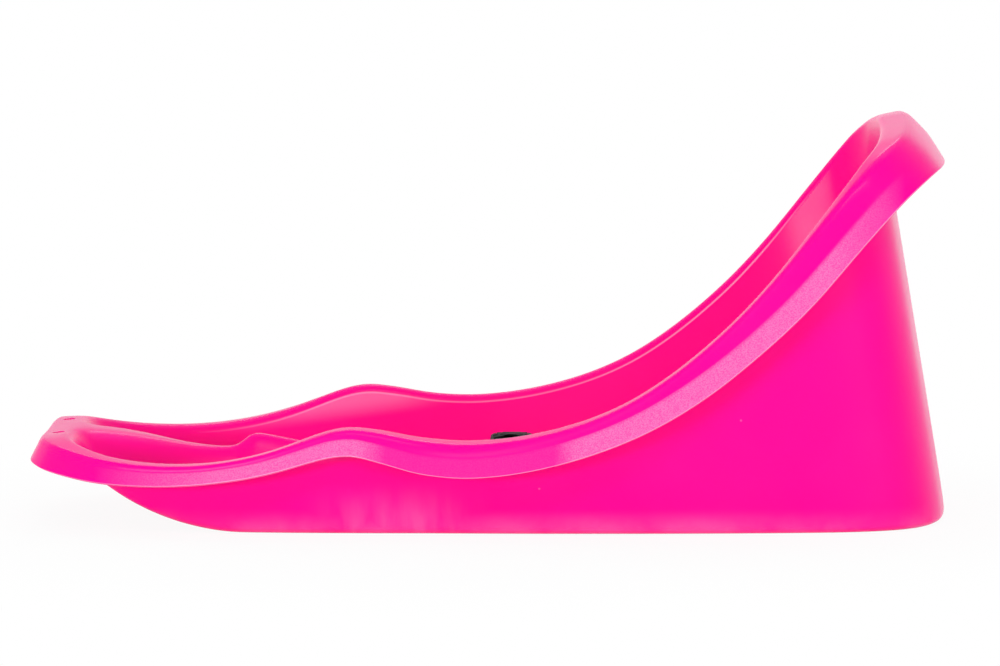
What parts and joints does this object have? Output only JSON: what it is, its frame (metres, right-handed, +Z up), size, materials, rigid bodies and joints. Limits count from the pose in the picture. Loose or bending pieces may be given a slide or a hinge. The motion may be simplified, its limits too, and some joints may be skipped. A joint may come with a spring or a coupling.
{
  "type": "toddler sled",
  "caption": "Toddler's snow sled: a one-piece moulded tub with a high back, leg divider, foot wells and turned-down rim, plus a webbing lap belt with a side-release buckle.",
  "frame": {"origin": "middle of the sled's bounding box at the height of the hull's flat underside", "axes": "+X from the nose to the high back, +Y towards the right of a child facing the nose, +Z up"},
  "size_m": [0.736, 0.418, 0.3209],
  "materials": {
    "tub_plastic": "moulded polyethylene, satin to glossy",
    "webbing": "woven",
    "buckle_plastic": "satin"
  },
  "bodies": {
    "sled": {"tub_shell": "tub_plastic", "belt_webbing": "webbing", "belt_adjusting_end": "webbing", "buckle_socket": "buckle_plastic"},
    "plug": {"buckle_plug": "buckle_plastic"}
  },
  "joints": [
    {"name": "buckle_release", "type": "slide", "parent": "sled", "child": "plug", "axis": [0, -1, 0], "range_m": [0, 0.025], "deforming": ["belt_adjusting_end"]}
  ]
}
